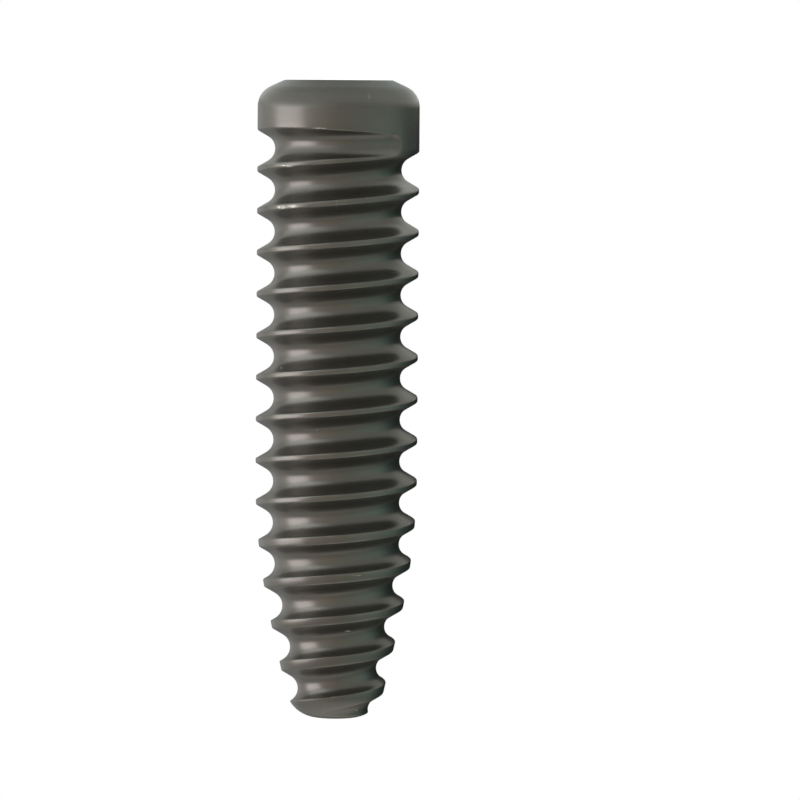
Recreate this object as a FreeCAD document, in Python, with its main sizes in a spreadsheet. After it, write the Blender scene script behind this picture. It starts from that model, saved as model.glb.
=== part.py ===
import FreeCAD, Part
import os
import Sketcher
from math import cos, radians, sin, tan
from FreeCAD import Placement, Rotation, Vector

# One-piece interference screw, turned from bar: a bevelled head, a constant shaft and a tapered nose,
# with a rounded thread groove cut from tip to head and a hexagon socket over a guide-wire bore.
# The screw is drawn tip down on its own axis, in a body that is turned over to stand on its head.

# Driving sizes in millimetres and degrees, each written once. A text cell holds an expression.
SIZES = {
    # turned outline
    "length": 27.6,
    "major_diameter": 7.0,
    "head_face_diameter": 4.66,
    "head_bevel_angle": 25.0,
    "head_round": 0.95,
    "nose_angle": 12.7,
    "nose_blend": 30.0,
    "tip_round": 1.4,
    "tip_face_diameter": 1.5,
    # thread groove
    "pitch": 1.8,
    "thread_depth": 0.77,
    "root_round": 0.62,
    "flank_angle": 30.0,
    "root_taper": 10.8,
    "root_taper_start": 7.1,
    "groove_overshoot": 0.08,
    "head_to_runout": 2.97,
    "runout_offset": 0.33,
    "runout_sweep": 128.5,
    "runout_exit": 60.0,
    "tip_overrun": 1.2,
    # drive socket and bore
    "socket_across_flats": 3.5,
    "socket_depth": 18.5,
    "socket_mouth_diameter": 4.36,
    "socket_mouth_angle": 45.0,
    "pilot_diameter": 3.4,
    "pilot_depth": 20.0,
    "drill_point_angle": 59.0,
    "guide_bore_diameter": 1.4,
    "cut_overshoot": 1.0,
}

# Sizes that follow from the ones above.
DERIVED = {
    "root_diameter": "=major_diameter - 2 * thread_depth",
    "thread_top": "=length - head_to_runout",
    "shaft_thread_height": "=thread_top - root_taper_start",
    "shaft_thread_turns": "=shaft_thread_height / pitch",
    "nose_thread_height": "=root_taper_start + tip_overrun",
    "pilot_floor": "=length - pilot_depth",
}

# How many equal flats stand in for each round that the thread cuts through or repeats.
ROOT_FLAT_COUNT = 4
TIP_FLAT_COUNT = 4
BLEND_FLAT_COUNT = 3

# It stands on its head face, tip up, with the origin in the middle of that face.
ON_ITS_HEAD = "placement(vector(0; 0; dims.length); rotation(vector(1; 0; 0); 180))"


def value(name):
    """The number that a cell of the size sheet holds."""
    return float(sheet.get(name))


def make_sheet(doc):
    """Writes every size to one sheet, a name and a value on each row."""
    made = doc.addObject("Spreadsheet::Sheet", "dims")
    for row, (name, content) in enumerate({**SIZES, **DERIVED}.items(), start=1):
        made.set(f"A{row}", name)
        made.set(f"B{row}", str(content))
        made.setAlias(f"B{row}", name)
    doc.recompute()
    return made


def origin_feature(body, role):
    """A base plane or axis of the body, found by its role."""
    return next(feature for feature in body.Origin.OriginFeatures if feature.Role == role)


def new_sketch(body, name, role):
    """An empty sketch on one of the body's base planes."""
    sketch = body.newObject("Sketcher::SketchObject", name)
    sketch.AttachmentSupport = [(origin_feature(body, role), "")]
    sketch.MapMode = "FlatFace"
    return sketch


def drive(sketch, name, expression, constraint):
    """Adds a named dimension to the sketch and binds it to the size sheet."""
    index = sketch.addConstraint(constraint)
    sketch.renameConstraint(index, name)
    sketch.setExpression(f"Constraints.{name}", expression)


def join(sketch, first, second, tangent=False):
    """Ties the end of one edge to the start of the next, square or tangent."""
    kind = "Tangent" if tangent else "Coincident"
    sketch.addConstraint(Sketcher.Constraint(kind, first, 2, second, 1))


def line(sketch, start, end, construction=False):
    """A straight edge of a sketch between two (x, y) places."""
    return sketch.addGeometry(Part.LineSegment(Vector(*start, 0), Vector(*end, 0)), construction)


def arc(sketch, centre, radius, first, last, construction=False):
    """An arc of a sketch from one angle to another, in degrees, anticlockwise."""
    circle = Part.Circle(Vector(*centre, 0), Vector(0, 0, 1), radius)
    return sketch.addGeometry(Part.ArcOfCircle(circle, radians(first), radians(last)), construction)


def flats(sketch, guide, count):
    """Equal straight edges from the start of a construction arc to its end, with their corners on it."""
    curve = sketch.Geometry[guide]
    step = (curve.LastParameter - curve.FirstParameter) / count
    corners = [curve.value(curve.FirstParameter + step * index) for index in range(count + 1)]
    places = [(corner.x, corner.y) for corner in corners]
    edges = [line(sketch, first, second) for first, second in zip(places, places[1:])]
    for first, second in zip(edges, edges[1:]):
        join(sketch, first, second)
        sketch.addConstraint(Sketcher.Constraint("PointOnObject", second, 1, guide))
        sketch.addConstraint(Sketcher.Constraint("Equal", first, second))
    sketch.addConstraint(Sketcher.Constraint("Coincident", edges[0], 1, guide, 1))
    sketch.addConstraint(Sketcher.Constraint("Coincident", edges[-1], 2, guide, 2))
    return edges


def draw_blank(body):
    """Half section of the turned blank, from the tip face up the nose, shaft and bevel to the head face."""
    length = value("length")
    radius = value("major_diameter") / 2
    nose = value("nose_angle")
    bevel = value("head_bevel_angle")
    tip = value("tip_face_diameter") / 2
    face = value("head_face_diameter") / 2
    tip_round = value("tip_round")
    blend = value("nose_blend")
    head_round = value("head_round")
    cone_at_end = tip + tip_round * tan(radians(45 - nose / 2))
    cone_top = (radius - cone_at_end) / tan(radians(nose))
    shaft_start = cone_top + blend * tan(radians(nose / 2))
    bevel_drop = (radius - face) * tan(radians(bevel))
    shaft_end = length - bevel_drop - head_round * tan(radians(45 - bevel / 2))

    sketch = new_sketch(body, "blank_outline", "XZ_Plane")
    tip_face = line(sketch, (0, 0), (tip, 0))
    tip_arc = arc(sketch, (tip, tip_round), tip_round, -90, -nose, construction=True)
    tip_arc_end = (tip + tip_round * cos(radians(nose)), tip_round - tip_round * sin(radians(nose)))
    blend_start_radius = radius - blend + blend * cos(radians(nose))
    blend_start = (blend_start_radius, shaft_start - blend * sin(radians(nose)))
    cone = line(sketch, tip_arc_end, blend_start)
    blend_arc = arc(sketch, (radius - blend, shaft_start), blend, -nose, 0, construction=True)
    shaft = line(sketch, (radius, shaft_start), (radius, shaft_end))
    head_arc = arc(sketch, (radius - head_round, shaft_end), head_round, 0, 90 - bevel)
    head_arc_end = (
        radius - head_round + head_round * sin(radians(bevel)),
        shaft_end + head_round * cos(radians(bevel)),
    )
    bevel_line = line(sketch, head_arc_end, (face, length))
    head_face = line(sketch, (face, length), (0, length))
    axis = line(sketch, (0, length), (0, 0))

    sketch.addConstraint(Sketcher.Constraint("Coincident", tip_face, 1, -1, 1))
    sketch.addConstraint(Sketcher.Constraint("Horizontal", tip_face))
    tangent_run = [tip_face, tip_arc, cone, blend_arc, shaft, head_arc, bevel_line]
    for first, second in zip(tangent_run, tangent_run[1:]):
        join(sketch, first, second, tangent=True)
    flats(sketch, tip_arc, TIP_FLAT_COUNT)
    flats(sketch, blend_arc, BLEND_FLAT_COUNT)
    sketch.addConstraint(Sketcher.Constraint("Vertical", shaft))
    join(sketch, bevel_line, head_face)
    join(sketch, head_face, axis)
    join(sketch, axis, tip_face)
    sketch.addConstraint(Sketcher.Constraint("Horizontal", head_face))
    sketch.addConstraint(Sketcher.Constraint("Vertical", axis))

    dimension = Sketcher.Constraint
    half_tip = "dims.tip_face_diameter / 2"
    half_shaft = "dims.major_diameter / 2"
    half_face = "dims.head_face_diameter / 2"
    bevel_turn = radians(180 - bevel)
    drive(sketch, "tip_radius", half_tip, dimension("DistanceX", tip_face, 1, tip_face, 2, tip))
    drive(sketch, "tip_round", "dims.tip_round", dimension("Radius", tip_arc, tip_round))
    drive(sketch, "nose_lean", "90 - dims.nose_angle", dimension("Angle", cone, radians(90 - nose)))
    drive(sketch, "nose_blend", "dims.nose_blend", dimension("Radius", blend_arc, blend))
    drive(sketch, "shaft_radius", half_shaft, dimension("DistanceX", -1, 1, shaft, 1, radius))
    drive(sketch, "head_round", "dims.head_round", dimension("Radius", head_arc, head_round))
    drive(sketch, "face_radius", half_face, dimension("DistanceX", -1, 1, bevel_line, 2, face))
    drive(sketch, "length", "dims.length", dimension("DistanceY", tip_face, 1, head_face, 2, length))
    drive(sketch, "bevel_slope", "180 - dims.head_bevel_angle", dimension("Angle", bevel_line, bevel_turn))
    return sketch


def revolve_blank(body, sketch):
    """Turns the outline once about the screw's axis."""
    turned = body.newObject("PartDesign::Revolution", "blank")
    turned.Profile = sketch
    turned.ReferenceAxis = (origin_feature(body, "Z_Axis"), [""])
    turned.Angle = 360
    return turned


def draw_groove_section(body, name, height, turn, at_exit=False):
    """Section of the thread groove: a rounded root between two flanks, open past the crest.

    height is the size for the middle of the groove along the axis, and turn the expression for its place
    around the axis in degrees. The construction line is the axis that the section swings about: for the
    run-out an eccentric one inside the screw, and at its exit one on the open side of the section, which is
    then measured and turned from the eccentric axis.
    """
    root = value("root_diameter") / 2
    rounding = value("root_round")
    flank = value("flank_angle")
    offset = value("runout_offset")
    shift = offset if at_exit else 0.0
    mouth = value("major_diameter") / 2 + value("groove_overshoot") + shift
    swing_at = mouth if at_exit else -offset
    middle = value(height)
    centre = root + rounding + shift
    touch_x = centre - rounding * sin(radians(flank))
    touch_rise = rounding * cos(radians(flank))
    mouth_rise = touch_rise + (mouth - touch_x) * tan(radians(flank))

    sketch = new_sketch(body, name, "XZ_Plane")
    sketch.AttachmentOffset = Placement(Vector(-shift, 0, 0), Rotation(Vector(0, 1, 0), 0))
    sketch.setExpression(".AttachmentOffset.Rotation.Angle", turn)
    if at_exit:
        sketch.setExpression(".AttachmentOffset.Base.x", "-dims.runout_offset")
    root_arc = arc(sketch, (centre, middle), rounding, 90 + flank, 270 - flank, construction=True)
    lower = line(sketch, (touch_x, middle - touch_rise), (mouth, middle - mouth_rise))
    closing = line(sketch, (mouth, middle - mouth_rise), (mouth, middle + mouth_rise))
    upper = line(sketch, (mouth, middle + mouth_rise), (touch_x, middle + touch_rise))
    swing = line(sketch, (swing_at, 0), (swing_at, middle), construction=True)

    for first, second in ((root_arc, lower), (upper, root_arc)):
        join(sketch, first, second, tangent=True)
    join(sketch, lower, closing)
    join(sketch, closing, upper)
    flats(sketch, root_arc, ROOT_FLAT_COUNT)
    for upright in (closing, swing):
        sketch.addConstraint(Sketcher.Constraint("Vertical", upright))
    sketch.addConstraint(Sketcher.Constraint("PointOnObject", swing, 1, -1))

    dimension = Sketcher.Constraint
    from_axis = " + dims.runout_offset" if at_exit else ""
    centre_reach = "dims.root_diameter / 2 + dims.root_round" + from_axis
    mouth_reach = "dims.major_diameter / 2 + dims.groove_overshoot" + from_axis
    drive(sketch, "middle", f"dims.{height}", dimension("DistanceY", -1, 1, root_arc, 3, middle))
    drive(sketch, "swing_length", f"dims.{height}", dimension("DistanceY", swing, 1, swing, 2, middle))
    drive(sketch, "centre", centre_reach, dimension("DistanceX", -1, 1, root_arc, 3, centre))
    drive(sketch, "rounding", "dims.root_round", dimension("Radius", root_arc, rounding))
    drive(sketch, "mouth", mouth_reach, dimension("DistanceX", -1, 1, closing, 1, mouth))
    drive(sketch, "lower_flank", "-dims.flank_angle", dimension("Angle", lower, radians(-flank)))
    drive(sketch, "upper_flank", "180 + dims.flank_angle", dimension("Angle", upper, radians(180 + flank)))
    if at_exit:
        drive(sketch, "offset", mouth_reach, dimension("DistanceX", -1, 1, swing, 1, mouth))
    else:
        drive(sketch, "offset", "dims.runout_offset", dimension("DistanceX", swing, 1, -1, 1, offset))
    return sketch


def swing_section(body, name, section, sweep, outward=False):
    """Takes out what the section sweeps as it swings level about its construction line."""
    cut = body.newObject("PartDesign::Groove", name)
    cut.Profile = section
    cut.ReferenceAxis = (section, ["Axis0"])
    cut.Reversed = outward
    cut.setExpression("Angle", f"dims.{sweep}")
    return cut


def make_path(doc, name, top, height, turn, lean):
    """Right-hand helix that runs down the root from a groove section, narrowing by the lean angle."""
    path = doc.addObject("Part::Helix", name)
    path.Style = "New style"
    path.SegmentLength = 1
    path.setExpression("Pitch", "dims.pitch")
    path.setExpression("Radius", "dims.root_diameter / 2")
    path.setExpression("Height", f"dims.{height}")
    path.setExpression("Angle", lean)
    place = f"vector(0; 0; dims.{top})"
    upside_down = f"rotation(vector(0; 0; 1); {turn}) * rotation(vector(1; 0; 0); 180)"
    path.setExpression("Placement", f"{ON_ITS_HEAD} * placement({place}; {upside_down})")
    doc.recompute()
    return path


def cut_thread(body, name, section, path):
    """Sweeps the groove section along its helix and takes it out of the blank."""
    guide = body.newObject("PartDesign::SubShapeBinder", f"{name}_guide")
    guide.Support = [(path, "")]
    cut = body.newObject("PartDesign::SubtractivePipe", name)
    cut.Profile = section
    cut.Spine = (guide, [f"Edge{number}" for number in range(1, len(path.Shape.Edges) + 1)])
    cut.Mode = "Frenet"
    return cut


def draw_bore(body):
    """Half section of the turned inside: mouth cone, pilot hole, drill point and guide-wire bore."""
    length = value("length")
    over = value("cut_overshoot")
    mouth = value("socket_mouth_diameter") / 2
    pilot = value("pilot_diameter") / 2
    guide = value("guide_bore_diameter") / 2
    floor = value("pilot_floor")
    slope = tan(radians(value("socket_mouth_angle")))
    mouth_lean = radians(-90 - value("socket_mouth_angle"))
    drill_lean = radians(-90 - value("drill_point_angle"))
    cone_drop = (pilot - guide) / tan(radians(value("drill_point_angle")))
    rim = mouth + over * slope
    corners = [
        (0, length + over),
        (rim, length + over),
        (pilot, length - (mouth - pilot) / slope),
        (pilot, floor),
        (guide, floor - cone_drop),
        (guide, -over),
        (0, -over),
    ]
    sketch = new_sketch(body, "bore_outline", "XZ_Plane")
    edges = [line(sketch, first, second) for first, second in zip(corners, corners[1:] + corners[:1])]
    top, mouth_cone, pilot_wall, drill_point, guide_wall, bottom, axis = edges
    for first, second in zip(edges, edges[1:] + edges[:1]):
        join(sketch, first, second)
    for level in (top, bottom):
        sketch.addConstraint(Sketcher.Constraint("Horizontal", level))
    for upright in (pilot_wall, guide_wall, axis):
        sketch.addConstraint(Sketcher.Constraint("Vertical", upright))
    sketch.addConstraint(Sketcher.Constraint("PointOnObject", axis, 1, -2))

    dimension = Sketcher.Constraint
    rim_size = "dims.socket_mouth_diameter / 2 + dims.cut_overshoot * tan(dims.socket_mouth_angle)"
    above = "dims.length + dims.cut_overshoot"
    drive(sketch, "top", above, dimension("DistanceY", -1, 1, top, 1, length + over))
    drive(sketch, "rim", rim_size, dimension("DistanceX", -1, 1, top, 2, rim))
    drive(sketch, "mouth_slope", "-90 - dims.socket_mouth_angle", dimension("Angle", mouth_cone, mouth_lean))
    drive(sketch, "pilot", "dims.pilot_diameter / 2", dimension("DistanceX", -1, 1, pilot_wall, 1, pilot))
    drive(sketch, "pilot_floor", "dims.pilot_floor", dimension("DistanceY", -1, 1, pilot_wall, 2, floor))
    drive(sketch, "drill_slope", "-90 - dims.drill_point_angle", dimension("Angle", drill_point, drill_lean))
    half_guide = "dims.guide_bore_diameter / 2"
    drive(sketch, "guide", half_guide, dimension("DistanceX", -1, 1, guide_wall, 1, guide))
    drive(sketch, "bottom", "dims.cut_overshoot", dimension("DistanceY", bottom, 1, -1, 1, over))
    return sketch


def cut_bore(body, sketch):
    """Turns the inside out of the screw, from the mouth of the socket through to the tip."""
    cut = body.newObject("PartDesign::Groove", "bore")
    cut.Profile = sketch
    cut.ReferenceAxis = (origin_feature(body, "Z_Axis"), [""])
    cut.Angle = 360
    return cut


def draw_hexagon(body):
    """Regular hexagon of the drive socket on the head face, with one corner on the X axis."""
    corner = value("socket_across_flats") / 2 / cos(radians(30))
    places = [(corner * cos(radians(60 * side)), corner * sin(radians(60 * side))) for side in range(6)]
    sketch = new_sketch(body, "socket_hexagon", "XY_Plane")
    sketch.setExpression(".AttachmentOffset.Base.z", "dims.length")
    sides = [line(sketch, first, second) for first, second in zip(places, places[1:] + places[:1])]
    around = sketch.addGeometry(Part.Circle(Vector(), Vector(0, 0, 1), corner), True)
    for first, second in zip(sides, sides[1:] + sides[:1]):
        join(sketch, first, second)
    for side in sides:
        sketch.addConstraint(Sketcher.Constraint("PointOnObject", side, 1, around))
    for side in sides[1:]:
        sketch.addConstraint(Sketcher.Constraint("Equal", sides[0], side))
    sketch.addConstraint(Sketcher.Constraint("Coincident", around, 3, -1, 1))
    sketch.addConstraint(Sketcher.Constraint("PointOnObject", sides[0], 1, -1))
    reach = "dims.socket_across_flats / 2 / cos(30)"
    drive(sketch, "corner", reach, Sketcher.Constraint("Radius", around, corner))
    return sketch


def cut_socket(body, sketch):
    """Broaches the hexagon down from the head face."""
    cut = body.newObject("PartDesign::Pocket", "socket")
    cut.Profile = sketch
    cut.Type = "Length"
    cut.setExpression("Length", "dims.socket_depth")
    return cut


def build_screw(doc):
    """The whole screw, one body: blank, thread, bore and socket, cut in the order that they are machined."""
    body = doc.addObject("PartDesign::Body", "interference_screw")
    body.Label = "interference_screw"
    body.setExpression("Placement", ON_ITS_HEAD)
    doc.recompute()
    revolve_blank(body, draw_blank(body))

    runout_section = draw_groove_section(body, "runout_section", "thread_top", "0")
    swing_section(body, "thread_runout", runout_section, "runout_sweep")
    exit_section = draw_groove_section(body, "exit_section", "thread_top", "dims.runout_sweep", at_exit=True)
    swing_section(body, "runout_exit", exit_section, "runout_exit", outward=True)
    shaft_path = make_path(doc, "shaft_path", "thread_top", "shaft_thread_height", "0", "0")
    cut_thread(body, "shaft_thread", runout_section, shaft_path)

    start = "root_taper_start"
    nose_turn = "-360 * dims.shaft_thread_turns"
    nose_section = draw_groove_section(body, "nose_section", start, nose_turn)
    nose_path = make_path(doc, "nose_path", start, "nose_thread_height", nose_turn, "-dims.root_taper")
    cut_thread(body, "nose_thread", nose_section, nose_path)

    cut_bore(body, draw_bore(body))
    cut_socket(body, draw_hexagon(body))
    return body


def check(doc, body):
    """Stops with a plain message if a feature failed, removed nothing or left a broken solid."""
    for item in doc.Objects:
        if "Invalid" in item.State or "Error" in item.State:
            raise RuntimeError(f"{item.Name} failed: {item.State}")
    left = None
    for feature in body.Group:
        if not feature.isDerivedFrom("PartDesign::Feature"):
            continue
        shape = feature.Shape
        if shape.isNull() or not shape.isValid():
            raise RuntimeError(f"{feature.Name} has no sound shape")
        if left is not None and shape.Volume >= left:
            raise RuntimeError(f"{feature.Name} removed nothing")
        left = shape.Volume
        print(f"{feature.Name}: {left:.2f} cubic millimetres left")
    if len(body.Shape.Solids) != 1 or not body.Shape.isValid():
        raise RuntimeError("the screw is not one sound solid")


doc = FreeCAD.newDocument("interference_screw")
sheet = make_sheet(doc)
screw = build_screw(doc)
doc.recompute()
check(doc, screw)
os.makedirs("parts", exist_ok=True)
screw.Shape.exportStep(f"parts/{screw.Label}.step")
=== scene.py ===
"""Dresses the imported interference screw: a smooth turned skin, satin anodised titanium, studio and camera."""

import logging
import math
from dataclasses import dataclass, field
from enum import IntEnum

import bpy
import numpy as np
from mathutils import Matrix, Vector

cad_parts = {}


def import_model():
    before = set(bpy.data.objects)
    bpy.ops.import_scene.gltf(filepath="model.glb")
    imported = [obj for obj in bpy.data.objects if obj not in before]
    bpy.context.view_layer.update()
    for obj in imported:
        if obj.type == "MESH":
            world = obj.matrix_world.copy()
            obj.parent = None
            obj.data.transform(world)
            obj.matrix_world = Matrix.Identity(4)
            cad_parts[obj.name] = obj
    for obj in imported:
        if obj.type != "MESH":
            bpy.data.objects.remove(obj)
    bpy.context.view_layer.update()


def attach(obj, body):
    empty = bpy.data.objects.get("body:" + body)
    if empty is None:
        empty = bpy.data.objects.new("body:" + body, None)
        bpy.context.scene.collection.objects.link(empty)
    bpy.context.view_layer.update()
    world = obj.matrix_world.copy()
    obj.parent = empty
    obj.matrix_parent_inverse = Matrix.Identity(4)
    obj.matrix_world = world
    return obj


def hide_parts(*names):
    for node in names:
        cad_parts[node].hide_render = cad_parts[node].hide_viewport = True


LOG = logging.getLogger("scene")
MM = 0.001
NODE = "interference_screw"
BODY = "root"
FULL_TURN = 360.0
NODE_STEP = (220, -260)
NODES_ACROSS = 8
MIX_COLOURS = (6, 7)
MIX_RESULT = 2
WATTS_PER_AREA = 4.0


def in_metres(numbers: tuple) -> tuple:
    """Turns millimetres into metres."""
    return tuple(number * MM for number in numbers)


def deselect_all() -> None:
    """Clears the selection and leaves object mode as the current one."""
    if bpy.context.object is not None and bpy.context.object.mode != "OBJECT":
        bpy.ops.object.mode_set(mode="OBJECT")
    bpy.ops.object.select_all(action="DESELECT")


def make_active(piece: bpy.types.Object) -> None:
    """Selects one object alone, so that the next operator acts on it."""
    deselect_all()
    piece.select_set(True)
    bpy.context.view_layer.objects.active = piece


class NodeBoard:
    """A short way to lay out a material's or the world's nodes."""

    def __init__(self, owner: bpy.types.ID) -> None:
        """Empties the owner's node tree.

        Args:
            owner: A material or a world.
        """
        owner.use_nodes = True
        self.tree = owner.node_tree
        self.tree.nodes.clear()
        self.made = 0

    def add(self, kind: str, **settings: object) -> bpy.types.Node:
        """Adds one node.

        Args:
            kind: The node's type, without its ShaderNode prefix.
            settings: Properties to set on it.

        Returns:
            The new node.
        """
        node = self.tree.nodes.new("ShaderNode" + kind)
        down, across = divmod(self.made, NODES_ACROSS)
        node.location = (NODE_STEP[0] * across, NODE_STEP[1] * down)
        self.made += 1
        for name, setting in settings.items():
            setattr(node, name, setting)
        return node

    def link(self, source: bpy.types.NodeSocket, target: bpy.types.NodeSocket) -> None:
        """Joins two sockets."""
        self.tree.links.new(source, target)

    def feed(self, target: bpy.types.NodeSocket, given: object) -> None:
        """Gives a socket its value, or joins it to another socket."""
        if isinstance(given, bpy.types.NodeSocket):
            self.link(given, target)
        else:
            target.default_value = given

    def math(self, operation: str, first: object, second: object = None) -> bpy.types.NodeSocket:
        """Adds a math node fed by sockets or numbers.

        Args:
            operation: The math node's operation.
            first: A socket or a number.
            second: A socket or a number, or nothing.

        Returns:
            The node's output socket.
        """
        node = self.add("Math", operation=operation)
        self.feed(node.inputs[0], first)
        if second is not None:
            self.feed(node.inputs[1], second)
        return node.outputs[0]

    def spread(self, source: bpy.types.NodeSocket, span: tuple, out: tuple) -> bpy.types.NodeSocket:
        """Maps a value from one span to another, clamped.

        Args:
            source: The value.
            span: Lowest and highest value to read.
            out: What they become.

        Returns:
            The mapped value's socket.
        """
        node = self.add("MapRange")
        self.link(source, node.inputs["Value"])
        for name, number in zip(("From Min", "From Max", "To Min", "To Max"), (*span, *out)):
            node.inputs[name].default_value = number
        return node.outputs["Result"]

    def mix(self, factor: object, first: object, second: object) -> bpy.types.NodeSocket:
        """Mixes two colours.

        Args:
            factor: A socket or a number.
            first: A socket or a colour.
            second: A socket or a colour.

        Returns:
            The mixed colour's socket.
        """
        node = self.add("Mix", data_type="RGBA")
        self.feed(node.inputs[0], factor)
        self.feed(node.inputs[MIX_COLOURS[0]], first)
        self.feed(node.inputs[MIX_COLOURS[1]], second)
        return node.outputs[MIX_RESULT]

    def ramp(self, factor: bpy.types.NodeSocket, stops: tuple) -> bpy.types.NodeSocket:
        """Reads a colour off a row of stops.

        Args:
            factor: Where along the row, from 0 to 1.
            stops: Pairs of place and colour, in order.

        Returns:
            The colour's socket.
        """
        node = self.add("ValToRGB")
        row = node.color_ramp.elements
        for place, colour in stops[1:-1]:
            row.new(place).color = (*colour, 1.0)
        for element, (place, colour) in ((row[0], stops[0]), (row[len(row) - 1], stops[-1])):
            element.position = place
            element.color = (*colour, 1.0)
        self.link(factor, node.inputs["Fac"])
        return node.outputs["Color"]

    def vector_math(self, operation: str, first: object, second: object) -> bpy.types.Node:
        """Adds a vector math node fed by sockets or triples.

        Args:
            operation: The node's operation.
            first: A socket or three numbers.
            second: A socket, three numbers, or the scale of a SCALE.

        Returns:
            The node.
        """
        node = self.add("VectorMath", operation=operation)
        self.feed(node.inputs[0], first)
        self.feed(node.inputs["Scale"] if operation == "SCALE" else node.inputs[1], second)
        return node

    def noise(self, vector: bpy.types.NodeSocket, stretch: tuple, detail: float) -> bpy.types.NodeSocket:
        """Adds a noise pattern read at a stretched place.

        Args:
            vector: Where to read it.
            stretch: Scale along each axis.
            detail: Octaves of the noise.

        Returns:
            The noise value's socket.
        """
        place = self.add("Mapping")
        place.inputs["Scale"].default_value = stretch
        self.link(vector, place.inputs["Vector"])
        node = self.add("TexNoise")
        node.inputs["Scale"].default_value = 1.0
        node.inputs["Detail"].default_value = detail
        self.link(place.outputs["Vector"], node.inputs["Vector"])
        return node.outputs["Fac"]


@dataclass(frozen=True)
class SoftSpot:
    """An egg-shaped place with a soft rim, in millimetres in the frame."""

    middle: tuple
    half: tuple
    strength: float = 1.0
    core: float = 0.55

    def mask(self, board: NodeBoard, place: bpy.types.NodeSocket) -> bpy.types.NodeSocket:
        """Lays out its mask: the strength in its core, and nothing outside it.

        Args:
            board: The material's nodes.
            place: Where the surface is, in metres.

        Returns:
            The mask's socket.
        """
        away = board.vector_math("SUBTRACT", place, in_metres(self.middle)).outputs[0]
        shares = board.vector_math("DIVIDE", away, in_metres(self.half)).outputs[0]
        reach = board.vector_math("LENGTH", shares, (0.0, 0.0, 0.0)).outputs["Value"]
        return board.math("MULTIPLY", board.spread(reach, (self.core, 1.0), (1.0, 0.0)), self.strength)


class ScuffAndGlint(SoftSpot):
    """A small bright spot: most are places where the oxide is worn through to bright metal; some also carry a
    painted highlight where the key lamp glints.
    """


class Glow(SoftSpot):
    """A place where the floor board looks brighter to the metal."""


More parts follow.
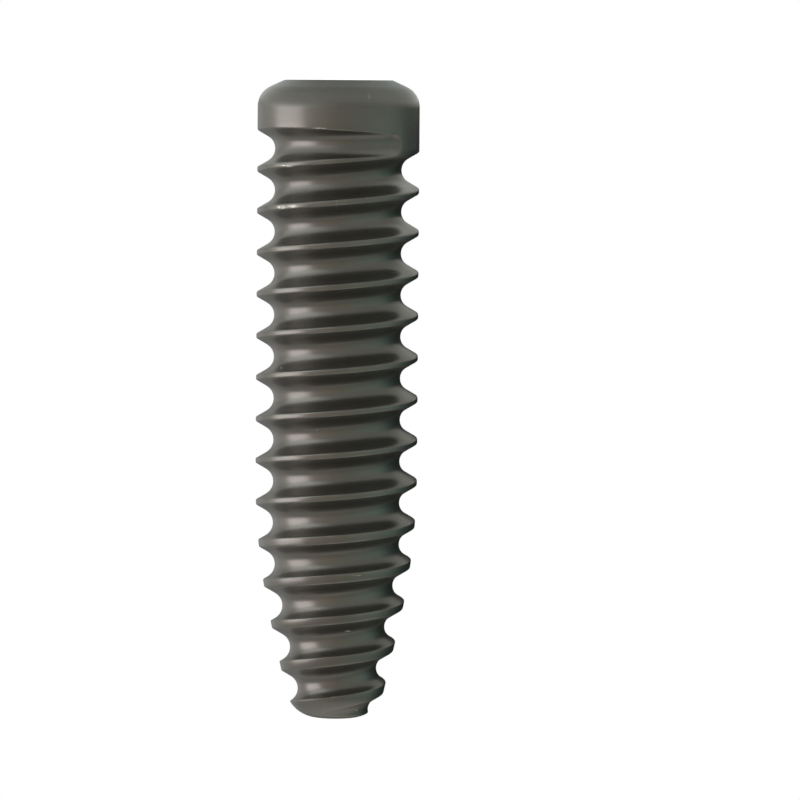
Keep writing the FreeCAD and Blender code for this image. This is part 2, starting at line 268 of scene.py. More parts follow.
@dataclass(frozen=True)
class TitaniumFinish:
    """Satin dark-grey anodised titanium: an even oxide over fine turning, worn bright in a few places, with
    painted highlights on the first two crests and the head's lower edge.

    A pattern is the noise's cells on each axis, per metre or for the marks round and along the turning, and
    its detail. A span is the part of a pattern that is spread out. Depths are in metres.
    """

    name: str = "anodised_titanium_satin"
    dark: tuple = (0.126, 0.121, 0.111, 1.0)
    light: tuple = (0.146, 0.140, 0.129, 1.0)
    edge: tuple = (0.18, 0.175, 0.16, 1.0)
    # Bright metal where the oxide is worn through; the same colour paints the highlights of the glints on the
    # first two crests and the head's lower edge.
    bare_and_glint: tuple = (0.38, 0.37, 0.34, 1.0)
    metallic: float = 0.84
    roughness: tuple = (0.28, 0.32)
    cloud: tuple = ((420.0, 420.0, 300.0), 3.0)
    patches: tuple = ((900.0, 900.0, 900.0), 3.0)
    tears: tuple = ((6000.0, 6000.0, 9000.0), 3.0)
    grain: tuple = ((9000.0, 9000.0, 9000.0), 2.0)
    marks: tuple = ((5.0, 26.0, 1.0), 4.0)
    fine_marks: tuple = ((9.0, 90.0, 1.0), 3.0)
    tone_span: tuple = (0.36, 0.64)
    patch_span: tuple = (0.45, 0.65)
    tear_span: tuple = (0.42, 0.55)
    tear_levels: tuple = (0.25, 1.0)
    rough_span: tuple = (0.7, 1.3)
    broad_share: float = 0.7
    mark_depth: float = 0.0000012
    burr_depth: float = 0.0000144
    scuffs_and_glints: tuple = (
        # The first three spots, on the first two crests where the key lamp reflects, are worn places with a
        # painted highlight; the fifth is a painted glint along the head's lower edge; the others are worn
        # spots, a scratch, a nick and specks.
        ScuffAndGlint((2.20, -2.75, 3.69), (0.50, 0.50, 0.085)),
        ScuffAndGlint((2.42, -2.50, 5.46), (0.36, 0.35, 0.11)),
        ScuffAndGlint((1.90, -2.92, 5.40), (0.36, 0.30, 0.10), 0.9),
        ScuffAndGlint((0.045, -3.30, 5.35), (0.022, 0.40, 0.30), 0.6),
        ScuffAndGlint((0.80, -3.40, 2.07), (0.42, 0.20, 0.05), 0.9),
        ScuffAndGlint((-0.53, -2.12, 23.69), (0.17, 0.25, 0.055)),
        ScuffAndGlint((2.38, -2.10, 12.36), (0.05, 0.30, 0.08)),
        ScuffAndGlint((0.82, -2.66, 14.975), (0.045, 0.20, 0.04), 0.6),
        ScuffAndGlint((-0.88, -3.09, 21.18), (0.30, 0.20, 0.028), 0.7),
        ScuffAndGlint((-0.97, -1.13, 27.18), (0.07, 0.20, 0.05), 0.6),
        ScuffAndGlint((-1.29, -3.10, 0.70), (0.03, 0.30, 0.17), 0.35),
        ScuffAndGlint((-1.24, -3.26, 5.02), (0.05, 0.20, 0.04), 0.8),
    )

    def rubbed_and_glinting(self, board: NodeBoard, place: bpy.types.NodeSocket) -> bpy.types.NodeSocket:
        """Where the worn spots and the painted glints are, broken up by a fine grain.

        Args:
            board: The material's nodes.
            place: Where the surface is.

        Returns:
            The mask's socket.
        """
        whole = None
        for scuff_and_glint in self.scuffs_and_glints:
            mask = scuff_and_glint.mask(board, place)
            whole = mask if whole is None else board.math("MAXIMUM", whole, mask)
        torn = board.spread(board.noise(place, *self.tears), self.tear_span, self.tear_levels)
        return board.math("MULTIPLY", whole, torn)

    def blend(self, board: NodeBoard, broad: bpy.types.NodeSocket,
              fine: bpy.types.NodeSocket) -> bpy.types.NodeSocket:
        """Adds a broad pattern and a fine one by their shares.

        Args:
            board: The material's nodes.
            broad: The pattern that counts for more.
            fine: The pattern that counts for less.

        Returns:
            The sum's socket.
        """
        most = board.math("MULTIPLY", broad, self.broad_share)
        return board.math("ADD", most, board.math("MULTIPLY", fine, 1.0 - self.broad_share))

    def relief(self, board: NodeBoard, height: bpy.types.NodeSocket, depth: float) -> bpy.types.Node:
        """Adds a bump node.

        Args:
            board: The material's nodes.
            height: The pattern that stands out.
            depth: How far it stands out, in metres.

        Returns:
            The node.
        """
        bump = board.add("Bump")
        bump.inputs["Strength"].default_value = 1.0
        bump.inputs["Distance"].default_value = depth
        board.link(height, bump.inputs["Height"])
        return bump

    def build(self) -> bpy.types.Material:
        """Makes the material.

        Returns:
            The material, ready to put in a slot.
        """
        material = bpy.data.materials.new(self.name)
        board = NodeBoard(material)
        shader = board.add("BsdfPrincipled")
        shader.inputs["Metallic"].default_value = self.metallic
        place = board.add("TexCoord").outputs["Object"]
        turned = board.add("UVMap", uv_map="lathe").outputs["UV"]

        cloud = board.noise(place, *self.cloud)
        grain = board.noise(place, *self.grain)
        marks = board.noise(turned, *self.marks)
        fine_marks = board.noise(turned, *self.fine_marks)

        tone = board.spread(self.blend(board, cloud, marks), self.tone_span, (0.0, 1.0))
        oxide = board.mix(tone, self.dark, self.light)
        edge = board.add("Attribute", attribute_name="edge").outputs["Fac"]
        patch = board.spread(board.noise(place, *self.patches), self.patch_span, (0.0, 1.0))
        worn = board.mix(board.math("MULTIPLY", edge, patch), oxide, self.edge)
        # Bright metal at the worn spots, and painted highlights at the glints on the first two crests and the
        # head's lower edge.
        rubbed_and_glinting = self.rubbed_and_glinting(board, place)
        board.link(board.mix(rubbed_and_glinting, worn, self.bare_and_glint), shader.inputs["Base Color"])

        rough = board.spread(board.math("ADD", grain, fine_marks), self.rough_span, self.roughness)
        board.link(rough, shader.inputs["Roughness"])

        turning = self.relief(board, self.blend(board, marks, fine_marks), self.mark_depth)
        burrs = self.relief(board, rubbed_and_glinting, self.burr_depth)
        board.link(turning.outputs["Normal"], burrs.inputs["Normal"])
        board.link(burrs.outputs["Normal"], shader.inputs["Normal"])
        output = board.add("OutputMaterial")
        board.link(shader.outputs["BSDF"], output.inputs["Surface"])
        return material


@dataclass(frozen=True)
class BoardFinish:
    """White matt board for the floor: it keeps the screw's shadow, and the metal shows it where it glows.

    The lift and the glows are strengths, where white paper in plain light is 1.
    """

    name: str = "white_board"
    colour: tuple = (0.80, 0.80, 0.80, 1.0)
    fleck: tuple = (0.84, 0.84, 0.84, 1.0)
    flecks: tuple = ((400.0, 400.0, 400.0), 2.0)
    glow_tint: tuple = (0.92, 1.0, 0.97, 1.0)
    lift: float = 0.62
    mirrored: float = 0.06
    glows: tuple = (
        Glow((-2.0, 3.0, 0.0), (10.0, 10.0, 5.0), 0.52),
        Glow((36.0, -8.0, 0.0), (36.0, 24.0, 5.0), 1.60),
    )

    def build(self) -> bpy.types.Material:
        """Makes the material.

        Returns:
            The material, ready to put in a slot.
        """
        material = bpy.data.materials.new(self.name)
        board = NodeBoard(material)
        diffuse = board.add("BsdfDiffuse")
        place = board.add("TexCoord").outputs["Object"]
        flecks = board.noise(place, *self.flecks)
        board.link(board.mix(flecks, self.colour, self.fleck), diffuse.inputs["Color"])
        rays = board.add("LightPath").outputs
        reflected = board.math("MAXIMUM", rays["Is Glossy Ray"], rays["Is Transmission Ray"])
        level = self.mirrored
        for glow in self.glows:
            level = board.math("ADD", glow.mask(board, place), level)
        seen = board.math("MULTIPLY", rays["Is Camera Ray"], self.lift)
        shine = board.add("Emission")
        shine.inputs["Color"].default_value = self.glow_tint
        strength = board.math("ADD", seen, board.math("MULTIPLY", reflected, level))
        board.link(strength, shine.inputs["Strength"])
        both = board.add("AddShader")
        board.link(diffuse.outputs["BSDF"], both.inputs[0])
        board.link(shine.outputs["Emission"], both.inputs[1])
        output = board.add("OutputMaterial")
        board.link(both.outputs["Shader"], output.inputs["Surface"])
        return material


class Side(IntEnum):
    """Which end of a groove's section an edge is at, as its place in a pair."""

    LOWER = 0
    UPPER = 1


@dataclass
class TurnPlan:
    """Where one turn's lower and upper edges are at an angle, each thing as a pair by side.

    Limits are places along the section, or nothing where the groove has faded. Shoulders are distances along
    the outline. Trims are how much of each edge is broken. Ridges are the points where the wall to the next
    turn ends, or nothing where there is a land.
    """

    limits: list | None = None
    shoulders: list = field(default_factory=lambda: [0.0, 0.0])
    trims: list = field(default_factory=lambda: [0.0, 0.0])
    ridges: list = field(default_factory=lambda: [None, None])


@dataclass
class Blank:
    """The turned outline before the thread is cut, in millimetres, tip end at zero."""

    length: float = 27.6
    radius: float = 3.498
    face_radius: float = 2.33
    bevel_angle: float = 25.0
    head_round: float = 0.95
    nose_angle: float = 12.7
    nose_blend: float = 30.0
    tip_round: float = 1.4
    tip_radius: float = 0.75
    arc_steps: int = 120
    shaft_end: float = field(init=False)
    heights: np.ndarray = field(init=False)
    radii: np.ndarray = field(init=False)
    run: np.ndarray = field(init=False)

    def __post_init__(self) -> None:
        """Draws the outline as a dense line, with the distance along it from the bore's mouth in the tip."""
        nose = math.radians(self.nose_angle)
        bevel = math.radians(self.bevel_angle)
        turn = np.radians(np.linspace(-90.0, -self.nose_angle, 2 * self.arc_steps))
        parts = [self.arc((self.tip_radius, self.tip_round), self.tip_round, turn)]
        cone_at_end = self.tip_radius + self.tip_round * math.tan(math.pi / 4 - nose / 2)
        shaft_start = (self.radius - cone_at_end) / math.tan(nose) + self.nose_blend * math.tan(nose / 2)
        turn = np.linspace(-nose, 0.0, self.arc_steps)
        parts.append(self.arc((self.radius - self.nose_blend, shaft_start), self.nose_blend, turn))
        drop = (self.radius - self.face_radius) * math.tan(bevel)
        self.shaft_end = self.length - drop - self.head_round * math.tan(math.pi / 4 - bevel / 2)
        turn = np.linspace(0.0, math.pi / 2 - bevel, self.arc_steps)
        parts.append(self.arc((self.radius - self.head_round, self.shaft_end), self.head_round, turn))
        parts.append((np.array([self.face_radius]), np.array([self.length])))
        self.radii, self.heights = (np.concatenate(part) for part in zip(*parts))
        steps = np.hypot(np.diff(self.radii), np.diff(self.heights))
        self.run = np.concatenate([[0.0], np.cumsum(steps)])

    @staticmethod
    def arc(middle: tuple, radius: float, turn: np.ndarray) -> tuple:
        """Radii and heights along an arc of the outline."""
        return middle[0] + radius * np.cos(turn), middle[1] + radius * np.sin(turn)

    def radius_at(self, height: np.ndarray) -> np.ndarray:
        """The outline's radius at a height, and less than nothing beyond the tip."""
        inside = np.interp(height, self.heights, self.radii)
        return np.where(height < 0.0, -1.0, inside)

    def run_at(self, height: np.ndarray) -> np.ndarray:
        """The distance along the outline at a height."""
        return np.interp(height, self.heights, self.run)

    def point_at(self, run: np.ndarray) -> tuple:
        """The radius and the height at a distance along the outline."""
        return np.interp(run, self.run, self.radii), np.interp(run, self.run, self.heights)


@dataclass
class Groove:
    """The thread groove's section and where it runs, in millimetres and degrees."""

    pitch: float = 1.8
    root_radius: float = 2.73
    rounding: float = 0.62
    flank_angle: float = 30.0
    root_taper: float = 10.8
    taper_start: float = 7.1
    top: float = 24.63
    offset: float = 0.33
    exit_turn: float = 128.5
    exit_reach: float = 0.85
    climb: float = 0.22
    outside: float = 9.0

    def root_at(self, height: np.ndarray) -> np.ndarray:
        """The root's radius at the height of the groove's middle."""
        below = np.maximum(0.0, self.taper_start - height)
        return self.root_radius - below * math.tan(math.radians(self.root_taper))

    def runout_radius(self, out: np.ndarray, turned: float) -> np.ndarray:
        """The run-out's radius: a swing about an eccentric axis, then a short one outwards to the wall.

        Args:
            out: Distances out from the root of the section.
            turned: The angle round the screw, in radians.

        Returns:
            The radii, far outside where the tool has left the metal.
        """
        swing = self.root_radius + self.offset + out
        across = self.offset * math.sin(turned)
        radius = np.sqrt(swing**2 - across**2) - self.offset * math.cos(turned)
        swung = np.arctan2(radius * math.sin(turned), radius * math.cos(turned) + self.offset)
        leave = math.radians(self.exit_turn)
        reach = self.root_radius + self.offset + self.exit_reach
        pivot = (reach * math.cos(leave) - self.offset, reach * math.sin(leave))
        ahead = pivot[0] * math.cos(turned) + pivot[1] * math.sin(turned)
        aside = pivot[1] * math.cos(turned) - pivot[0] * math.sin(turned)
        left = (self.exit_reach - out) ** 2 - aside**2
        in_metal = (left > 0.0) & (out < self.exit_reach)
        exit_radius = np.where(in_metal, ahead - np.sqrt(np.abs(left)), self.outside)
        return np.where(swung > leave, exit_radius, radius)

    def section(self, along: np.ndarray) -> tuple:
        """How far a place on the section is out from the root and up from the middle.

        Args:
            along: Distance along the section from its middle, upwards.

        Returns:
            The distance out and the distance up.
        """
        reach = np.abs(along)
        sweep = math.radians(90.0 - self.flank_angle)
        on_arc = np.minimum(reach / self.rounding, sweep)
        beyond = np.maximum(0.0, reach - self.rounding * sweep)
        out = self.rounding * (1.0 - np.cos(on_arc)) + beyond * math.cos(math.radians(self.flank_angle))
        rise = self.rounding * np.sin(on_arc) + beyond * math.sin(math.radians(self.flank_angle))
        return out, np.sign(along) * rise


@dataclass
class Socket:
    """The drive socket and the bore below it, in millimetres and degrees."""

    across_flats: float = 3.5
    corner_span: float = 60.0
    depth: float = 18.5
    mouth_radius: float = 2.18
    pilot_radius: float = 1.7
    pilot_depth: float = 20.0
    drill_angle: float = 59.0
    bore_radius: float = 0.7

    def hexagon_at(self, angle: float) -> float:
        """The hexagon's radius at an angle in radians, with a corner at zero."""
        span = math.radians(self.corner_span)
        half = span / 2.0
        local = (angle + half) % span - half
        return self.across_flats / 2.0 / math.cos(half - abs(local))


@dataclass(frozen=True)
class Wear:
    """How worn each kind of edge is, from 0 to 1."""

    none: float = 0.0
    tip_mouth: float = 0.3
    head_face: float = 0.35
    land_edge: float = 0.5
    groove_edge: float = 1.0


@dataclass
class ScrewSkin:
    """The whole screw as one smooth closed skin of upright strips, each with the true section at its angle.

    Lengths are in millimetres and angles in degrees.
    """

    blank: Blank = field(default_factory=Blank)
    groove: Groove = field(default_factory=Groove)
    socket: Socket = field(default_factory=Socket)
    wear: Wear = field(default_factory=Wear)
    columns: int = 216
    turns: int = 14
    groove_rows: int = 15
    wall_rows: int = 5
    round_rows: int = 9
    tip_rows: int = 16
    face_gap: float = 0.02
    round_gap: float = 0.04
    wall_gap: float = 0.05
    mouth_gap: float = 0.1
    edge_break: float = 0.045
    groove_share: float = 0.25
    land_share: float = 0.3
    ridge_break: float = 0.03
    least_land: float = 0.02
    least_width: float = 0.02
    exit_span: tuple = (130.0, 143.0)
    exit_step: float = 0.5
    section_reach: float = 2.4
    section_steps: int = 1921
    outside_limit: float = -0.2
    ridge_span: tuple = (0.3, 1.6)
    ridge_steps: int = 1301
    support: float = 0.03
    merge_distance: float = 0.0006
    least_edge: float = 0.0002
    smooth_angle: float = 42.0
    normal_weight: int = 60

    def angles(self) -> np.ndarray:
        """Where the strips stand, in degrees, closer together where the run-out leaves the wall."""
        even = np.linspace(0.0, FULL_TURN, self.columns + 1)
        close = np.arange(self.exit_span[0], self.exit_span[1], self.exit_step)
        return np.unique(np.round(np.concatenate([even, close]), 3))

    def find_edges(self, turn: int, angle: float) -> tuple:
        """Where one turn of the groove meets the outline at an angle.

        Args:
            turn: 0 for the run-out under the head, and from 1 down to the tip.
            angle: The angle round the screw, in degrees.

        Returns:
            The lower and upper limit along the section, or nothing where the groove isn't there.
        """
        along = np.linspace(-self.section_reach, self.section_reach, self.section_steps)
        radius, height = self.groove_point(turn, angle, along)
        inside = self.blank.radius_at(height) - radius
        held = np.nonzero(inside > 0.0)[0]
        if turn == 0 and angle > self.exit_span[1] or len(held) < 2:
            return None
        limits = []
        for first, second in ((held[0] - 1, held[0]), (held[-1], held[-1] + 1)):
            near, far = (max(value, self.outside_limit) for value in (inside[first], inside[second]))
            limits.append(along[first] + (along[second] - along[first]) * near / (near - far))
        if limits[1] - limits[0] < self.least_width:
            return None
        return tuple(limits)

    def groove_point(self, turn: int, angle: float, along: np.ndarray) -> tuple:
        """Radius and height of places on one turn's section at an angle.

        Args:
            turn: 0 for the run-out, and from 1 down to the tip.
            angle: The angle round the screw, in degrees.
            along: Distances along the section.

        Returns:
            The radii and the heights.
        """
        shape = self.groove
        out, rise = shape.section(along)
        if turn == 0:
            turned = math.radians(angle)
            level = shape.top + shape.climb * math.sin(min(turned, math.pi / 2.0))
            return shape.runout_radius(out, turned), level + rise
        middle = shape.top - shape.pitch * (turn - angle / FULL_TURN)
        return shape.root_at(middle) + out, middle + rise

    def edge_runs(self, turn: int, angle: float, limits: tuple) -> tuple:
        """How far along the outline a groove's lower and upper edges are."""
        _, heights = self.groove_point(turn, angle, np.array(limits))
        return tuple(self.blank.run_at(heights))

    def find_ridge(self, turn: int, angle: float) -> tuple:
        """Where a turn's lower flank meets the next turn's upper one, if the wall between them is cut away.

        Args:
            turn: The turn above the ridge.
            angle: The angle round the screw, in degrees.

        Returns:
            The places along both sections, and the ridge's radius and height.
        """
        near, far = self.ridge_span
        below = np.linspace(-far, -near, self.ridge_steps)
        above = np.linspace(near, far, self.ridge_steps)
        radius_below, height_below = self.groove_point(turn, angle, below)
        radius_above, height_above = self.groove_point(turn + 1, angle, above)
        seen = np.interp(radius_below, radius_above, height_above)
        gone = radius_below >= self.groove.outside
        gap = np.abs(height_below - seen) + gone * self.groove.outside
        index = int(np.argmin(gap))
        radius, height = float(radius_below[index]), float(height_below[index])
        return float(below[index]), float(np.interp(radius, radius_above, above)), radius, height

    def plan_column(self, angle: float, fades: dict) -> list:
        """Where each turn's edges are at an angle, also for turns that have faded out there.

        Args:
            angle: The angle round the screw, in degrees.
            fades: For the first and last turn, the angle and the run where the groove fades.

        Returns:
            The plans of all the turns, from the run-out down to the tip.
        """
        plans = []
        for turn in range(self.turns + 1):
            limits = self.find_edges(turn, angle)
            if limits is None:
                plans.append(TurnPlan())
                continue
            trim = min(self.edge_break, self.groove_share * (limits[Side.UPPER] - limits[Side.LOWER]))
            plans.append(TurnPlan(list(limits), list(self.edge_runs(turn, angle, limits)), [trim, trim]))
        for turn, (upper, lower) in enumerate(zip(plans, plans[1:])):
            if upper.limits is None or lower.limits is None:
                continue
            land = upper.shoulders[Side.LOWER] - lower.shoulders[Side.UPPER]
            if land < self.least_land:
                upper.limits[Side.LOWER], lower.limits[Side.UPPER], *ridge = self.find_ridge(turn, angle)
                upper.ridges[Side.LOWER] = lower.ridges[Side.UPPER] = tuple(ridge)
                trim = self.ridge_break
            else:
                trim = min(self.edge_break, self.land_share * land)
            upper.trims[Side.LOWER] = lower.trims[Side.UPPER] = trim
        for plan in plans:
            plan.shoulders[Side.LOWER] -= plan.trims[Side.LOWER]
            plan.shoulders[Side.UPPER] += plan.trims[Side.UPPER]
        first, last = plans[0], plans[-1]
        if first.limits is None:
            start, run = fades[0]
            share = (angle - start) / (FULL_TURN - start)
            first.shoulders = [run + (self.plan_top(FULL_TURN) - run) * share] * 2
        if last.limits is None:
            start, run = fades[self.turns]
            above = plans[-2].shoulders[Side.LOWER]
            share = angle / start
            last.shoulders = [above + (run - above) * share] * 2
        return plans

    def plan_top(self, angle: float) -> float:
        """The run of the first full turn's upper shoulder at an angle."""
        limits = self.find_edges(1, angle)
        return self.edge_runs(1, angle, limits)[1] + self.edge_break

    def find_fades(self) -> dict:
        """The angle and the run at which the run-out and the last turn fade into the outline."""
        angles = self.angles()
        fades = {}
        for turn, order in ((0, angles), (self.turns, angles[::-1])):
            for angle, past in zip(order, order[1:]):
                if self.find_edges(turn, past) is None:
                    break
            runs = self.edge_runs(turn, angle, self.find_edges(turn, angle))
            fades[turn] = (past, sum(runs) / 2.0)
        return fades

    def inner_rows(self, angle: float) -> list:
        """Radius and height down the bore and the socket, from the tip up to the head face.

        Args:
            angle: The angle round the screw, in degrees.

        Returns:
            Pairs of radius and height.
        """
        socket = self.socket
        length = self.blank.length
        hexagon = socket.hexagon_at(math.radians(angle))
        floor = length - socket.pilot_depth
        point = (socket.pilot_radius - socket.bore_radius) / math.tan(math.radians(socket.drill_angle))
        shelf = length - socket.depth
        lead = self.support
        mouth = length - socket.mouth_radius + hexagon
        return [
            (socket.bore_radius, 0.0),
            (socket.bore_radius, lead),
            (socket.bore_radius, floor - point - lead),
            (socket.bore_radius, floor - point),
            (socket.pilot_radius, floor),
            (socket.pilot_radius, floor + lead),
            (socket.pilot_radius, shelf - lead),
            (socket.pilot_radius, shelf),
            (hexagon, shelf),
            (hexagon, shelf + lead),
            (hexagon, mouth - lead),
            (hexagon, mouth),
            (socket.mouth_radius, length),
        ]

    def head_runs(self, top: float) -> list:
        """Distances along the outline from the head face down to the run-out's upper shoulder.

        Args:
            top: The shoulder's distance along the outline.

        Returns:
            The distances, from the face down.
        """
        blank = self.blank
        face = blank.run[-1]
        round_height = blank.head_round * math.cos(math.radians(blank.bevel_angle))
        round_top = blank.run_at(blank.shaft_end + round_height)
        round_end = blank.run_at(blank.shaft_end)
        return [
            face,
            face - self.face_gap,
            round_top + self.round_gap,
            *np.linspace(round_top, round_end, self.round_rows),
            *np.linspace(round_end - self.wall_gap, top, self.wall_rows),
        ]

    def column(self, angle: float, fades: dict) -> list:
        """One upright strip, from the tip up through the bore and down again outside.

        Args:
            angle: The angle round the screw, in degrees.
            fades: Where the first and last turn fade.

        Returns:
            Rows of radius, height, wear, groove number and place across the groove.
        """
        wear = self.wear
        rows = [(radius, height, wear.none, -1, -height) for radius, height in self.inner_rows(angle)]
        plans = self.plan_column(angle, fades)
        for index, run in enumerate(self.head_runs(plans[0].shoulders[Side.UPPER])):
            rows.append((*self.blank.point_at(run), wear.none if index else wear.head_face, -1, run))
        for turn, (upper, lower) in enumerate(zip(plans, plans[1:])):
            rows += self.groove_rows_at(turn, angle, upper)
            start, end = upper.shoulders[Side.LOWER], lower.shoulders[Side.UPPER]
            land = (
                (start, wear.land_edge, turn),
                ((start + end) / 2.0, wear.none, turn),
                (end, wear.land_edge, turn + 1),
            )
            for run, worn, number in land:
                point = upper.ridges[Side.LOWER] or self.blank.point_at(run)
                rows.append((*point, worn, number, run))
        rows += self.groove_rows_at(self.turns, angle, plans[-1])
        for run in np.linspace(plans[-1].shoulders[Side.LOWER], 0.0, self.tip_rows):
            rows.append((*self.blank.point_at(run), wear.none, self.turns, run))
        rows.append((self.socket.bore_radius, 0.0, wear.tip_mouth, self.turns, -self.mouth_gap))
        return rows

    def groove_rows_at(self, turn: int, angle: float, plan: TurnPlan) -> list:
        """The rows of one groove, from its upper edge down to its lower one.

        Args:
            turn: Which turn it is.
            angle: The angle round the screw, in degrees.
            plan: Where its edges are.

        Returns:
            The rows.
        """
        if plan.limits is None:
            run = plan.shoulders[Side.UPPER]
            return [(*self.blank.point_at(run), self.wear.none, turn, run)] * (self.groove_rows + 2)
        upper_end = plan.limits[Side.UPPER] - plan.trims[Side.UPPER]
        lower_end = plan.limits[Side.LOWER] + plan.trims[Side.LOWER]
        along = np.linspace(upper_end, lower_end, self.groove_rows)
        radii, heights = self.groove_point(turn, angle, along)
        rows = [(*point, self.wear.none, turn, where) for *point, where in zip(radii, heights, along)]
        ends = []
        for side, near in ((Side.UPPER, rows[0]), (Side.LOWER, rows[-1])):
            place = plan.limits[side]
            corner = [part[0] for part in self.groove_point(turn, angle, np.array([place]))]
            shoulder = plan.ridges[side] or self.blank.point_at(plan.shoulders[side])
            radius, height = ((corner[i] + (shoulder[i] + near[i]) / 2.0) / 2.0 for i in (0, 1))
            ends.append((radius, height, self.wear.groove_edge, turn, place))
        return [ends[0], *rows, ends[1]]

    def build(self) -> bpy.types.Object:
        """Makes the skin: a grid primitive whose corners go to their places, then merged and smoothed.

        Returns:
            The screw, at the origin, in metres.
        """
        fades = self.find_fades()
        angles = self.angles()
        table = np.array([self.column(angle, fades) for angle in angles])
        strips, rows = len(angles) - 1, table.shape[1]
        deselect_all()
        bpy.ops.mesh.primitive_grid_add(x_subdivisions=strips, y_subdivisions=rows - 1, size=2.0)
        screw = bpy.context.object
        screw.name = "threaded_screw"
        mesh = screw.data
        mesh.name = "threaded_screw"
        flat = np.empty(len(mesh.vertices) * 3)
        mesh.vertices.foreach_get("co", flat)
        flat = flat.reshape(-1, 3)
        across = np.rint((flat[:, 0] + 1.0) / 2.0 * strips).astype(int)
        down = np.rint((flat[:, 1] + 1.0) / 2.0 * (rows - 1)).astype(int)
        radius, height, wear = (table[across, down, part] for part in range(3))
        angle = np.radians(angles[across])
        rise = self.blank.length - height
        places = np.stack([radius * np.cos(angle), -radius * np.sin(angle), rise], axis=1)
        mesh.vertices.foreach_set("co", (places * MM).ravel())
        edge = mesh.attributes.new("edge", "FLOAT", "POINT")
        edge.data.foreach_set("value", wear)
        self.unroll(mesh, table, angles[across] / FULL_TURN, across, down)
        self.close(screw)
        return screw

    def unroll(self, mesh: bpy.types.Mesh, table: np.ndarray, share: np.ndarray, across: np.ndarray,
               down: np.ndarray) -> None:
        """Lays the skin out so that turning marks follow the groove and go round the head.

        Args:
            mesh: The grid, before it is merged.
            table: Rows of every strip.
            share: How far round the screw each vertex is, as a share of a turn.
            across: Each vertex's strip.
            down: Each vertex's row.
        """
        for layer in list(mesh.uv_layers):
            mesh.uv_layers.remove(layer)
        layer = mesh.uv_layers.new(name="lathe")
        corners = np.empty(len(mesh.loops), dtype=int)
        mesh.loops.foreach_get("vertex_index", corners)
        sides = np.empty(len(mesh.polygons), dtype=int)
        mesh.polygons.foreach_get("loop_total", sides)
        owner = np.repeat(np.arange(len(sides)), sides)
        upper_row = np.full(len(sides), table.shape[1])
        np.minimum.at(upper_row, owner, down[corners])
        face_number = table[across[corners], upper_row[owner], 3]
        place = table[across[corners], down[corners], 4]
        around = share[corners]
        turn = np.where(face_number < 0, around, face_number - around)
        layer.data.foreach_set("uv", np.stack([turn, place], axis=1).ravel())

    def close(self, screw: bpy.types.Object) -> None:
        """Merges the seam and the faded rows, points the faces out and smooths them.

        Args:
            screw: The grid with its corners in place.
        """
        make_active(screw)
        bpy.ops.object.mode_set(mode="EDIT")
        bpy.ops.mesh.select_all(action="SELECT")
        bpy.ops.mesh.remove_doubles(threshold=self.merge_distance * MM)
        bpy.ops.mesh.dissolve_degenerate(threshold=self.least_edge * MM)
        bpy.ops.mesh.select_all(action="SELECT")
        bpy.ops.mesh.normals_make_consistent(inside=False)
        bpy.ops.object.mode_set(mode="OBJECT")
        bpy.ops.object.shade_smooth_by_angle(angle=math.radians(self.smooth_angle))
        bpy.ops.object.modifier_add(type="WEIGHTED_NORMAL")
        modifier = screw.modifiers[-1]
        modifier.keep_sharp = True
        modifier.weight = self.normal_weight
        bpy.ops.object.modifier_apply(modifier=modifier.name)

    def dress(self, screw: bpy.types.Object, finish: TitaniumFinish) -> None:
        """Gives the screw its finish and its place in the frame.

        Args:
            screw: The closed skin.
            finish: The metal's finish.
        """
        screw.data.materials.clear()
        screw.data.materials.append(finish.build())
        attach(screw, BODY)
        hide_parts(NODE)


@dataclass(frozen=True)
class Lamp:
    """One soft box, aimed at the middle of the screw, in degrees and metres.

    Azimuth 0 is towards the camera and 90 to the photograph's left. The level is how bright its face is,
    where white paper in plain light is 1.
    """

    name: str
    azimuth: float
    elevation: float
    distance: float
    width: float
    height: float
    level: float
    tint: tuple = (1.0, 1.0, 1.0)

    def add(self, target: Vector) -> bpy.types.Object:
        """Adds the lamp.

        Args:
            target: Where it points.

        Returns:
            The lamp's object.
        """
        data = bpy.data.lights.new(self.name, "AREA")
        data.shape = "RECTANGLE"
        data.size = self.width
        data.size_y = self.height
        data.energy = WATTS_PER_AREA * self.width * self.height * self.level
        data.color = self.tint
        lamp = bpy.data.objects.new(data.name, data)
        bpy.context.scene.collection.objects.link(lamp)
        turn, rise = math.radians(self.azimuth), math.radians(self.elevation)
        back = Vector((math.sin(turn) * math.cos(rise), -math.cos(turn) * math.cos(rise), math.sin(rise)))
        lamp.location = target + back * self.distance
        lamp.rotation_euler = (-back).to_track_quat("-Z", "Y").to_euler()
        return lamp


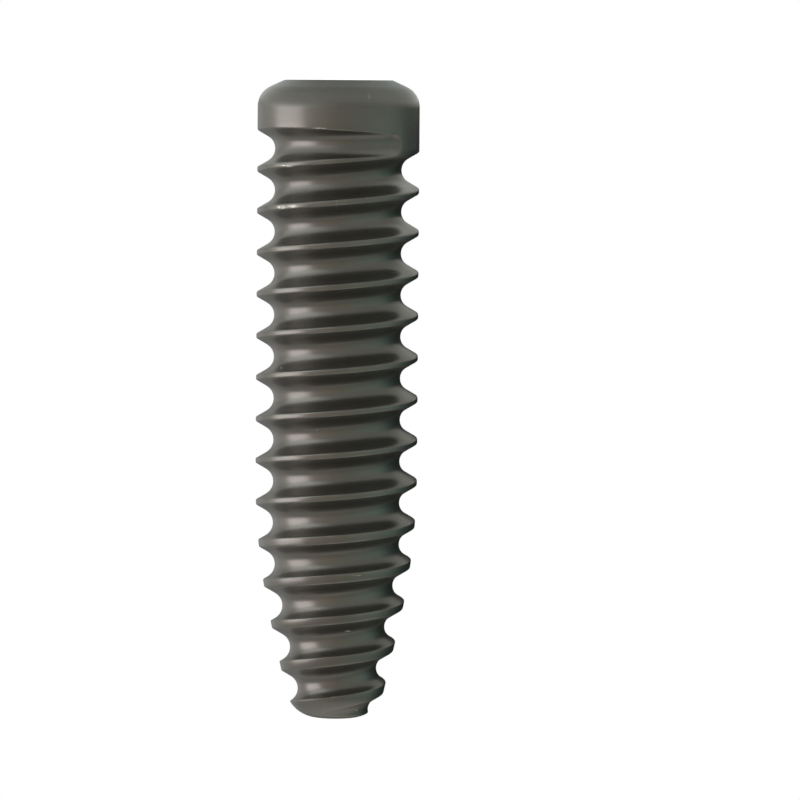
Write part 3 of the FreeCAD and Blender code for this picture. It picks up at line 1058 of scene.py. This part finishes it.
@dataclass(frozen=True)
class Surroundings:
    """The soft light tent around the screw: its walls, its roof and the white backdrop behind.

    Turns are in degrees as for the lamps; heights are the sine of the elevation. The camera sees plain white.
    """

    name: str = "light_tent"
    by_turn: tuple = (
        (-180.0, (0.06, 0.07, 0.07)),
        (-168.0, (0.01, 0.01, 0.01)),
        (-130.0, (0.02, 0.04, 0.035)),
        (-112.0, (0.12, 0.20, 0.18)),
        (-95.0, (0.35, 0.50, 0.45)),
        (-80.0, (0.52, 0.70, 0.62)),
        (-45.0, (0.56, 0.70, 0.60)),
        (-15.0, (0.60, 0.62, 0.51)),
        (0.0, (0.63, 0.58, 0.48)),
        (20.0, (0.80, 0.71, 0.61)),
        (45.0, (0.85, 0.77, 0.68)),
        (110.0, (1.05, 1.03, 0.98)),
        (145.0, (0.80, 0.79, 0.77)),
        (165.0, (0.45, 0.46, 0.45)),
        (180.0, (0.06, 0.07, 0.07)),
    )
    by_rise: tuple = ((0.0, 1.0), (0.17, 1.0), (0.34, 0.85), (0.57, 0.45), (0.80, 0.10), (1.0, 0.0))
    roof: tuple = ((0.35, 0.0), (0.60, 0.20), (0.80, 0.70), (1.0, 1.0))
    roof_tint: tuple = (1.0, 0.99, 0.92)
    brightest: float = 1.5
    backdrop: tuple = (1.0, 1.0, 1.0, 1.0)
    backdrop_reach: float = 4.5
    backdrop_rim: float = 0.002

    def grey_stops(self, levels: tuple) -> tuple:
        """Turns pairs of place and level into a ramp's grey stops, as shares of the brightest."""
        return tuple((place, (level / self.brightest,) * 3) for place, level in levels)

    def wall_stops(self) -> tuple:
        """The walls' tones as a ramp's stops, as shares of the brightest, from behind round to behind."""
        stops = (((turn + FULL_TURN / 2.0) / FULL_TURN, colour) for turn, colour in self.by_turn)
        return tuple((place, tuple(part / self.brightest for part in colour)) for place, colour in stops)

    def build(self) -> None:
        """Makes the world and puts it in the scene."""
        world = bpy.data.worlds.new(self.name)
        bpy.context.scene.world = world
        board = NodeBoard(world)
        direction = board.add("TexCoord").outputs["Generated"]
        parts = board.add("SeparateXYZ")
        board.link(direction, parts.inputs["Vector"])
        towards = board.math("MULTIPLY", parts.outputs["Y"], -1.0)
        turn = board.math("ARCTAN2", parts.outputs["X"], towards)
        share = board.spread(turn, (-math.pi, math.pi), (0.0, 1.0))
        around = board.ramp(share, self.wall_stops())
        fading = board.ramp(parts.outputs["Z"], self.grey_stops(self.by_rise))
        rising = board.ramp(parts.outputs["Z"], self.grey_stops(self.roof))
        walls = board.vector_math("MULTIPLY", around, fading).outputs[0]
        walls = board.vector_math("SCALE", walls, self.brightest**2).outputs[0]
        roof_light = tuple(self.brightest * part for part in self.roof_tint)
        roof = board.vector_math("MULTIPLY", rising, roof_light).outputs[0]
        tent = board.vector_math("ADD", walls, roof).outputs[0]
        rays = board.add("LightPath").outputs
        edge = math.cos(math.radians(self.backdrop_reach))
        behind = board.spread(parts.outputs["Y"], (edge - self.backdrop_rim, edge), (0.0, 1.0))
        mirrored = board.math("MAXIMUM", rays["Is Glossy Ray"], rays["Is Transmission Ray"])
        white = board.math("MAXIMUM", rays["Is Camera Ray"], board.math("MULTIPLY", mirrored, behind))
        background = board.add("Background")
        board.link(board.mix(white, tent, self.backdrop), background.inputs["Color"])
        output = board.add("OutputWorld")
        board.link(background.outputs["Background"], output.inputs["Surface"])


@dataclass
class Studio:
    """The floor, the lamp and the camera at the photograph's place.

    The floor and the clipping distances are in metres, the other places in millimetres and degrees.
    """

    floor_size: float = 0.10
    lens: float = 261.24
    sensor: float = 36.0
    clipping: tuple = (0.01, 20.0)
    frame_pixels: float = 800.0
    centre_pixel: tuple = (336.70, 407.34)
    camera_distance: float = 250.9
    camera_height: float = 0.15
    axis_height: float = 14.15
    lamp_aim: float = 13.8
    roll: float = 0.389
    lamps: tuple = (
        Lamp("key_lamp", 75.0, 0.0, 0.20, 0.17, 0.15, 2.1, (1.0, 0.94, 0.97)),
    )

    def add_floor(self, finish: BoardFinish) -> bpy.types.Object:
        """Lays the floor that the screw stands on.

        Args:
            finish: The floor's finish.

        Returns:
            The floor.
        """
        deselect_all()
        bpy.ops.mesh.primitive_plane_add(size=self.floor_size)
        floor = bpy.context.object
        floor.name = "floor"
        floor.data.materials.append(finish.build())
        return floor

    def add_camera(self) -> bpy.types.Object:
        """Makes the camera, level with the head and upside down, because the screw stands on its head.

        Returns:
            The camera.
        """
        data = bpy.data.cameras.new("camera")
        data.lens = self.lens
        data.sensor_width = self.sensor
        data.clip_start, data.clip_end = self.clipping
        camera = bpy.data.objects.new("camera", data)
        bpy.context.scene.collection.objects.link(camera)
        place = Vector((0.0, -self.camera_distance, self.camera_height)) * MM
        focal = self.lens / self.sensor * self.frame_pixels
        half = self.frame_pixels / 2.0
        aim = Vector((0.0, 0.0, self.axis_height)) * MM
        forward = (aim - place).normalized()
        upward = Vector((0.0, 0.0, -1.0))
        right = forward.cross(upward).normalized()
        upward = right.cross(forward)
        basis = Matrix((right, upward, -forward)).transposed()
        roll = Matrix.Rotation(math.radians(self.roll), 3, "Z")
        sideways = math.atan((half - self.centre_pixel[0]) / focal)
        upwards = math.atan((self.centre_pixel[1] - half) / focal)
        yaw = Matrix.Rotation(-sideways, 3, "Y")
        nod = Matrix.Rotation(upwards, 3, "X")
        camera.matrix_world = Matrix.Translation(place) @ (basis @ roll @ yaw @ nod).to_4x4()
        bpy.context.scene.camera = camera
        return camera

    def light(self) -> None:
        """Adds the lamps, aimed at the middle of the screw."""
        target = Vector((0.0, 0.0, self.lamp_aim * MM))
        for lamp in self.lamps:
            lamp.add(target)
            LOG.info("%s, level %.1f", lamp.name, lamp.level)

    def set_view(self) -> None:
        """Shows colours plainly."""
        bpy.context.scene.view_settings.view_transform = "Standard"


def main() -> None:
    """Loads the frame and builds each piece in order."""
    logging.basicConfig(level=logging.INFO, format="%(name)s: %(message)s")
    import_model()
    studio = Studio()
    studio.set_view()
    Surroundings().build()
    studio.add_floor(BoardFinish())
    studio.light()
    studio.add_camera()
    skin = ScrewSkin()
    screw = skin.build()
    skin.dress(screw, TitaniumFinish())
    LOG.info("piece %s: %d faces", screw.name, len(screw.data.polygons))


if __name__ == "__main__":
    main()
